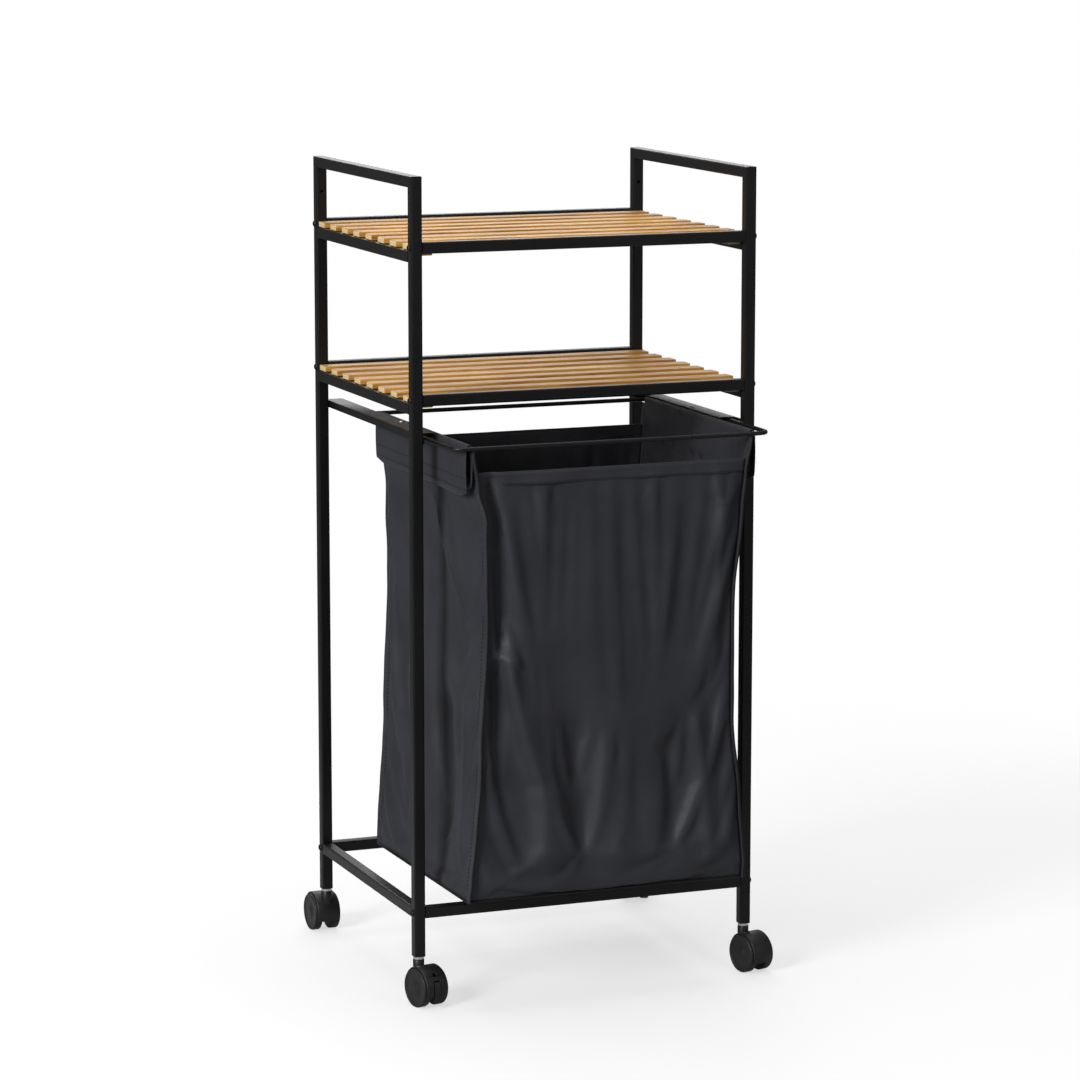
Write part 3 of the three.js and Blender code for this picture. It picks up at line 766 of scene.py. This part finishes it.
# Creases of each panel: (start, end, width, height, sharp), across from the panel's left edge
# as seen from outside, in metres, and up from the floor; heights stand out of the panel
FRONT_FOLDS = [
    ((0.016, 0.66), (0.018, 0.24), 0.008, -0.012, False),
    ((0.022, 0.41), (0.080, 0.245), 0.014, 0.025, True),
    ((0.074, 0.26), (0.088, 0.172), 0.016, 0.022, True),
    ((0.088, 0.184), (-0.004, 0.125), 0.014, 0.016, True),
    ((0.000, 0.415), (0.040, 0.402), 0.007, 0.008, True),
    ((0.115, 0.33), (0.128, 0.17), 0.022, -0.012, False),
    ((0.155, 0.31), (0.178, 0.165), 0.020, 0.008, False),
    ((0.255, 0.335), (0.290, 0.15), 0.013, 0.013, True),
    ((0.225, 0.31), (0.245, 0.17), 0.018, -0.010, False),
    ((0.285, 0.60), (0.272, 0.36), 0.016, 0.010, True),
    ((0.075, 0.61), (0.060, 0.42), 0.020, 0.008, False),
    ((0.20, 0.60), (0.21, 0.42), 0.026, 0.008, False),
    ((0.075, 0.184), (0.31, 0.178), 0.013, 0.010, True),
]
SIDE_FOLDS = [
    ((0.165, 0.60), (0.275, 0.40), 0.012, 0.012, True),
    ((0.135, 0.44), (0.118, 0.27), 0.014, 0.013, True),
    ((0.118, 0.28), (0.150, 0.16), 0.015, 0.012, True),
    ((0.200, 0.36), (0.190, 0.17), 0.020, -0.011, False),
    ((0.065, 0.52), (0.055, 0.18), 0.018, -0.009, False),
    ((0.030, 0.58), (0.038, 0.26), 0.012, 0.009, False),
    ((0.250, 0.36), (0.262, 0.17), 0.014, 0.009, False),
    ((0.110, 0.58), (0.105, 0.44), 0.016, -0.008, False),
]
OTHER_SIDE_FOLDS = [
    ((0.07, 0.55), (0.10, 0.30), 0.018, 0.009, True),
    ((0.19, 0.50), (0.17, 0.18), 0.020, 0.008, True),
    ((0.13, 0.36), (0.14, 0.15), 0.022, -0.008, False),
    ((0.25, 0.56), (0.23, 0.28), 0.016, 0.007, False),
]
REAR_FOLDS = [
    ((0.06, 0.58), (0.10, 0.26), 0.02, 0.008, True),
    ((0.24, 0.55), (0.20, 0.20), 0.02, 0.008, True),
    ((0.15, 0.50), (0.15, 0.16), 0.03, -0.008, False),
    ((0.04, 0.33), (0.09, 0.15), 0.014, 0.007, True),
]


def seam(corner, z):
    """The place of one of the bag's four vertical seams at a height."""
    half = through(SEAMS[corner], z) * MM
    x = MID_X + (-half if corner in ("fl", "rl") else half)
    if corner in ("fl", "fr"):
        y = BAG_FRONT + through(FRONT_PANEL, z) * MM
    else:
        y = BAG_REAR - through(REAR_PANEL, z) * MM
    return Vector((x, y, z))


def facing(first, second, z):
    """The level direction straight out of the panel between two seams, at a height."""
    along = seam(second, z) - seam(first, z)
    return Vector((along.y, -along.x, 0)).normalized()


def panel_point(first, second, across, z, folds, seed):
    """A point of the panel between two seams, with creases and crumples up to a greatest depth."""
    a, b = seam(first, z), seam(second, z)
    point = a.lerp(b, across)
    out = facing(first, second, z)
    length = (b - a).length
    edge = smoothstep(0.0, 0.06, across) * (1.0 - smoothstep(0.94, 1.0, across))
    foot = smoothstep(0.0, 0.05, z - BAG_BOTTOM)
    push = sum(fold(across * length, z, *each) for each in folds)
    push += BROAD_CRUMPLE * noise.noise(Vector((across * 5.0, z * 9.0, seed)))
    push += FINE_CRUMPLE * noise.noise(Vector((across * 14.0, z * 22.0, seed + 3.7)))
    push = DEEPEST_FOLD * math.tanh(push / DEEPEST_FOLD)
    head = 1.0 - smoothstep(HEM_Z - 0.03, HEM_Z + 0.01, z) * 0.7
    return point + out * push * edge * foot * head


# Each panel: its two seams, from left to right as seen from outside, its creases, the seed of its
# crumples and the height of its top edge
PANELS = {
    "front": ("fl", "fr", FRONT_FOLDS, 1.0, HEM_Z),
    "rear": ("rr", "rl", REAR_FOLDS, 2.0, HEM_Z),
    "left": ("rl", "fl", SIDE_FOLDS, 3.0, SIDE_TOP),
    "right": ("fr", "rr", OTHER_SIDE_FOLDS, 4.0, SIDE_TOP),
}


def relax(piece, columns, rows, grow=0.006, frames=10, reach=6 * MM):
    """Lets a panel buckle a little: its cloth grows and hangs while its four edges stay sewn.

    No vertex moves further than reach from where the code put it.
    """
    held = piece.vertex_groups.new(name="sewn")
    for row in range(rows + 1):
        for column in range(columns + 1):
            border = min(row, rows - row, column, columns - column)
            if border < 2:
                held.add([row * (columns + 1) + column], 1.0 - 0.5 * border, "REPLACE")
    start = [v.co.copy() for v in piece.data.vertices]
    cloth = piece.modifiers.new("drape", "CLOTH")
    cloth.settings.quality = 6
    cloth.settings.mass = 0.12
    cloth.settings.tension_stiffness = 14.0
    cloth.settings.compression_stiffness = 14.0
    cloth.settings.shear_stiffness = 4.0
    cloth.settings.bending_stiffness = 2.0
    cloth.settings.shrink_min = -grow
    cloth.settings.vertex_group_mass = "sewn"
    cloth.collision_settings.use_collision = False
    cloth.point_cache.frame_end = frames
    scene = bpy.context.scene
    for number in range(1, frames + 1):
        scene.frame_set(number)
    apply_modifiers(piece)
    scene.frame_set(1)
    for vertex, before in zip(piece.data.vertices, start):
        move = vertex.co - before
        if move.length > reach:
            vertex.co = before + move * (reach / move.length)


def panel(name):
    """One of the bag's four walls."""
    first, second, folds, seed, top = PANELS[name]
    vertices = []
    for row in range(ROWS + 1):
        z = lerp(PANEL_FOOT, top, row / ROWS)
        for column in range(COLUMNS + 1):
            vertices.append(panel_point(first, second, column / COLUMNS, z, folds, seed))
    piece = mesh_piece(f"bag_panel_{name}", vertices, grid_faces(ROWS, COLUMNS), FABRIC)
    relax(piece, COLUMNS, ROWS)
    thicken(piece, CLOTH)
    width = (seam(first, 0.4) - seam(second, 0.4)).length + 0.01
    return place(piece, "bag_drawer", "fabric")


def thicken(piece, thickness):
    solid = piece.modifiers.new("cloth", "SOLIDIFY")
    solid.thickness = thickness
    solid.offset = 0.0


bag_pieces = [panel(name) for name in PANELS]
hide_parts("bag")


def bag_floor():
    """The bag's bottom, slightly wavy between its bound edges."""
    vertices = []
    count = 40
    for row in range(count + 1):
        for column in range(count + 1):
            front = panel_point("fl", "fr", column / count, PANEL_FOOT, (), 1.0)
            rear = panel_point("rr", "rl", 1.0 - column / count, PANEL_FOOT, (), 2.0)
            point = front.lerp(rear, row / count)
            inside = math.sin(math.pi * row / count) * math.sin(math.pi * column / count)
            point.z = PANEL_FOOT + 0.6 * MM + 1.2 * MM * inside * noise.noise(point * 30)
            vertices.append(point)
    piece = mesh_piece("bag_floor", vertices, grid_faces(count, count), FABRIC)
    thicken(piece, CLOTH)
    return place(piece, "bag_drawer", "fabric")


bag_floor()


def seam_strip(corner):
    """The sewn edge that stands out along a vertical seam, with a rolled rim."""
    opposite = {"fl": "rl", "rl": "fl", "fr": "rr", "rr": "fr"}[corner]
    top = SIDE_TOP
    vertices = []
    rim = []
    for row in range(ROWS + 1):
        z = lerp(BAG_BOTTOM + 1.0 * MM, top, row / ROWS)
        at = seam(corner, z)
        out = (at - seam(opposite, z)).normalized()
        out.z = 0
        side = Vector((-out.y, out.x, 0))
        wave = 0.9 * MM * noise.noise(Vector((z * 24, 0, len(rim) * 0.001 + ord(corner[0]))))
        edge = at + out * (HALF_SEAM * 0.9 + wave * 0.6) + side * wave
        rim.append(edge)
        vertices += [at - out * 1.5 * MM, at.lerp(edge, 0.5) + side * wave * 0.3, edge]
    piece = mesh_piece(f"bag_seam_{corner}", vertices, grid_faces(ROWS, 2), FABRIC)
    thicken(piece, 1.6 * MM)
    place(piece, "bag_drawer", "fabric")
    piping = wire_piece(f"bag_piping_{corner}", rim, 1.0 * MM, BINDING, resolution=3)
    place(piping, "bag_drawer", "fabric")


for corner_name in CORNERS:
    seam_strip(corner_name)


def bottom_binding():
    """Black tape folded over the edge where the walls meet the floor."""
    outline_z, tape_z = BAG_BOTTOM + 2.2 * MM, BAG_BOTTOM + 2.0 * MM
    points = []
    count = 40
    for name in ("front", "right", "rear", "left"):
        first, second, _, seed, _ = PANELS[name]
        for i in range(count):
            at = panel_point(first, second, i / count, outline_z, (), seed)
            at.z = tape_z
            points.append(at)
    tape = wire_piece("bag_bottom_binding", points, 1.9 * MM, BINDING, True, 3)
    place(tape, "bag_drawer", "fabric")


bottom_binding()


def hem(name):
    """The doubled top edge of the front or rear panel."""
    first, second, folds, seed, top = PANELS[name]
    depth = HEM_DEPTH
    rows = 5
    vertices = []
    for row in range(rows + 1):
        z = lerp(top - depth, top, row / rows)
        out = facing(first, second, z)
        for column in range(COLUMNS + 1):
            point = panel_point(first, second, column / COLUMNS, z, folds, seed)
            vertices.append(point + out * 0.8 * MM)
    piece = mesh_piece(f"bag_hem_{name}", vertices, grid_faces(rows, COLUMNS), FABRIC)
    thicken(piece, 1.2 * MM)
    width = (seam(first, top) - seam(second, top)).length
    place(piece, "bag_drawer", "fabric")
    rim = []
    for i in range(COLUMNS + 1):
        point = panel_point(first, second, i / COLUMNS, top, folds, seed)
        rim.append(point + Vector((0, 0, 0.2 * MM)))
    roll = wire_piece(f"bag_hem_roll_{name}", rim, 1.0 * MM, FABRIC, resolution=3)
    place(roll, "bag_drawer", "fabric")


hem("front")
hem("rear")


# The sleeves: cloth looped over each hanger wire and sewn to itself below it
SLEEVE_FRONT = FRONT + 6 * MM
SLEEVE_REAR = REAR - 9 * MM
SLEEVE_DROP = 50 * MM
SLEEVE_RADIUS = 3.6 * MM
HANGERS = {"left": (-1.0, LEFT + HANGER), "right": (1.0, RIGHT - HANGER)}


def sleeve_wave(across):
    """How far the sleeve's outer side stands out at one place along the wire."""
    return 1.2 * MM * noise.noise(Vector((across * 6.0, 5.0, 0)))


def sleeve_section(across):
    """The loop's outline at one place along the wire: (sideways from the wire outwards, up)."""
    wave = sleeve_wave(across)
    radius = SLEEVE_RADIUS
    points = [(-radius + 1.0 * MM, -SLEEVE_DROP + 6 * MM)]
    points += [(-radius - 0.2 * MM + wave * 0.3, -24 * MM), (-radius, -8 * MM)]
    for i in range(9):
        turn = math.pi - i / 8 * math.pi
        points.append((radius * math.cos(turn), radius * math.sin(turn)))
    points += [(radius + 0.2 * MM, -8 * MM), (radius + 0.6 * MM + wave, -24 * MM)]
    points.append((radius + 0.2 * MM + wave * 0.7, -38 * MM))
    points.append((radius - 0.4 * MM + wave * 0.5, -SLEEVE_DROP))
    return points


def sleeve(side):
    """The sleeve over one hanger wire, open at both ends, with an uneven lower edge."""
    sign, x = HANGERS[side]
    steps = 90
    vertices = []
    for i in range(steps + 1):
        across = i / steps
        y = lerp(SLEEVE_FRONT, SLEEVE_REAR, across)
        cut = 9 * MM * smoothstep(0.0, 0.06, across) * (1.0 - smoothstep(0.9, 1.0, across))
        droop = 2.0 * MM * noise.noise(Vector((across * 4.0, 1.0, sign)))
        for sideways, up in sleeve_section(across):
            low = 1.0 if up <= -SLEEVE_DROP + 7 * MM else 0.0
            z = WIRE_Z + up - low * (cut * 0.4 + droop)
            vertices.append(Vector((x + sign * sideways, y, z)))
    faces = grid_faces(steps, len(sleeve_section(0.0)) - 1)
    piece = mesh_piece(f"bag_sleeve_{side}", vertices, faces, FABRIC)
    soften = piece.modifiers.new("soften", "SUBSURF")
    soften.levels = soften.render_levels = 1
    thicken(piece, CLOTH)
    place(piece, "bag_drawer", "fabric")


for side_name in ("left", "right"):
    sleeve(side_name)


# ---------------------------------------------------------------- stitching

STITCH, STITCH_GAP, STITCH_RADIUS = 3.2 * MM, 1.6 * MM, 0.32 * MM


def stitch_line(name, path):
    """Short raised threads along a path of points on the cloth."""
    vertices, faces = [], []
    walked = 0.0
    start = None
    # Walks along the path, never past the end of a segment or of a stitch or gap; the tiny steps
    # added keep rounding from holding the walk still
    for a, b in zip(path, path[1:]):
        step = (b - a).length
        place_in = 0.0
        while place_in < step:
            phase = walked % (STITCH + STITCH_GAP)
            if phase < STITCH:
                if start is None:
                    start = a.lerp(b, place_in / step)
                left = STITCH - phase
            else:
                if start is not None:
                    add_stitch(vertices, faces, start, a.lerp(b, place_in / step))
                    start = None
                left = STITCH + STITCH_GAP - phase
            move = min(left + 1e-7, step - place_in + 1e-9)
            place_in += move
            walked += move
    piece = mesh_piece(name, vertices, faces, THREAD)
    return place(piece, "bag_drawer", "fabric")


def add_stitch(vertices, faces, a, b):
    """One stitch from a to b: a six-sided thread, thinner at its ends."""
    along = b - a
    if along.length < 1e-6:
        return
    along.normalize()
    side = along.orthogonal().normalized()
    up = along.cross(side)
    base = len(vertices)
    for t, swell in ((0.0, 0.5), (0.25, 1.0), (0.75, 1.0), (1.0, 0.5)):
        centre = a.lerp(b, t)
        for i in range(6):
            turn = i / 6 * 2 * math.pi
            aside = side * math.cos(turn) + up * math.sin(turn)
            vertices.append(centre + aside * STITCH_RADIUS * swell)
    faces += ring_faces(4, 6, base)
    faces.append(tuple(base + 5 - i for i in range(6)))
    faces.append(tuple(base + 18 + i for i in range(6)))


def seam_stitches():
    """A row of stitches on the side panels beside each vertical seam."""
    for corner in CORNERS:
        first, second, folds, seed, _ = PANELS["left" if corner in ("fl", "rl") else "right"]
        near = 0.022 if corner == first else 0.978
        path = []
        for i in range(161):
            z = lerp(BAG_BOTTOM + 6 * MM, WIRE_Z - SLEEVE_DROP, i / 160)
            point = panel_point(first, second, near, z, folds, seed)
            path.append(point + facing(first, second, z) * (CLOTH / 2 + 0.15 * MM))
        stitch_line(f"stitches_seam_{corner}", path)


def sleeve_stitches():
    """Two rows of stitches along each sleeve's foot."""
    for side, (sign, x) in HANGERS.items():
        for row_name, up in (("upper", -34 * MM), ("lower", -46 * MM)):
            path = []
            for i in range(91):
                sideways = 4.6 * MM + sleeve_wave(i / 90)
                y = lerp(SLEEVE_FRONT + 2 * MM, SLEEVE_REAR - 2 * MM, i / 90)
                path.append(Vector((x + sign * sideways, y, WIRE_Z + up)))
            stitch_line(f"stitches_sleeve_{side}_{row_name}", path)


def hem_stitches():
    """A row of stitches along the lower edge of each hem."""
    for name in ("front", "rear"):
        first, second, folds, seed, top = PANELS[name]
        z = top - 12 * MM
        path = []
        for i in range(121):
            point = panel_point(first, second, lerp(0.01, 0.99, i / 120), z, folds, seed)
            path.append(point + facing(first, second, z) * 1.6 * MM)
        stitch_line(f"stitches_hem_{name}", path)


seam_stitches()
sleeve_stitches()
hem_stitches()


# ---------------------------------------------------------------- floor, light and camera

FLOOR_NEAR, FLOOR_FAR = 0.75, 1.7
FLOOR_ALPHA = 0.38
LIGHT_ALL_ROUND = 0.17


def floor():
    size = FLOOR_FAR * 1.1
    corners = [(-size, -size, 0), (size, -size, 0), (size, size, 0), (-size, size, 0)]
    mesh_piece("floor", corners, [(0, 1, 2, 3)], floor_material())


def floor_material():
    """Pale and matt, fading out with distance from the object."""
    n = Nodes("pale_floor")
    color = n.ramp(n.noise(0.6, 2.0), [(0.3, (0.90, 0.90, 0.90)), (0.7, (0.92, 0.92, 0.92))])
    distance = n.add("ShaderNodeVectorMath", operation="LENGTH")
    n.link(n.coords, distance.inputs[0])
    fade = n.add("ShaderNodeMapRange", interpolation_type="SMOOTHSTEP")
    fade.inputs["From Min"].default_value = FLOOR_NEAR
    fade.inputs["From Max"].default_value = FLOOR_FAR
    fade.inputs["To Min"].default_value = FLOOR_ALPHA
    fade.inputs["To Max"].default_value = 0.0
    n.link(distance.outputs["Value"], fade.inputs["Value"])
    n.link(fade.outputs["Result"], n.shader.inputs["Alpha"])
    return n.finish(color, n.range(n.noise(3.0), 0.75, 0.85), None, Specular_IOR_Level=0.1)


def studio_world():
    """White behind the object, and a softer grey light all round it."""
    world = bpy.data.worlds.new("studio")
    world.use_nodes = True
    tree = world.node_tree
    background = tree.nodes["Background"]
    background.inputs["Color"].default_value = (1.0, 1.0, 1.0, 1.0)
    path = tree.nodes.new("ShaderNodeLightPath")
    strength = tree.nodes.new("ShaderNodeMapRange")
    strength.inputs["To Min"].default_value = LIGHT_ALL_ROUND
    strength.inputs["To Max"].default_value = 1.0
    tree.links.new(path.outputs["Is Camera Ray"], strength.inputs["Value"])
    tree.links.new(strength.outputs["Result"], background.inputs["Strength"])
    bpy.context.scene.world = world


def area_light(name, location, target, size, power):
    light = bpy.data.lights.new(name, "AREA")
    light.shape = "RECTANGLE"
    light.size, light.size_y = size
    light.energy = power
    obj = bpy.data.objects.new(name, light)
    obj.location = location
    obj.rotation_euler = (Vector(target) - Vector(location)).to_track_quat("-Z", "Y").to_euler()
    bpy.context.scene.collection.objects.link(obj)


floor()
middle = Vector((0.0, 0.0, 0.45))
area_light("key", (-3.3, -2.0, 1.9), middle, (1.3, 1.3), 150)
area_light("fill", (1.8, -3.0, 1.8), middle, (1.8, 1.8), 10)
area_light("top", (0.0, 0.2, 3.4), middle, (2.4, 2.4), 62)
area_light("back", (0.6, 3.0, 2.2), middle, (2.2, 1.6), 40)

studio_world()
bpy.context.scene.view_settings.view_transform = "Standard"

# The camera's place and aim from the outer foot corner of the front left post
foot_corner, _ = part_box("post_fl")
CAMERA_FROM_FOOT = Vector((-1.4803, -4.1687, 1.2199))
AIM_FROM_FOOT = Vector((0.2188, 0.1719, 0.438))
camera_data = bpy.data.cameras.new("camera")
camera_data.lens = 134.67
camera_data.sensor_width = 36.0
camera = bpy.data.objects.new("camera", camera_data)
camera.location = foot_corner + CAMERA_FROM_FOOT
camera.rotation_euler = (AIM_FROM_FOOT - CAMERA_FROM_FOOT).to_track_quat("-Z", "Y").to_euler()
camera_data.clip_end = 60.0
bpy.context.scene.collection.objects.link(camera)
bpy.context.scene.camera = camera
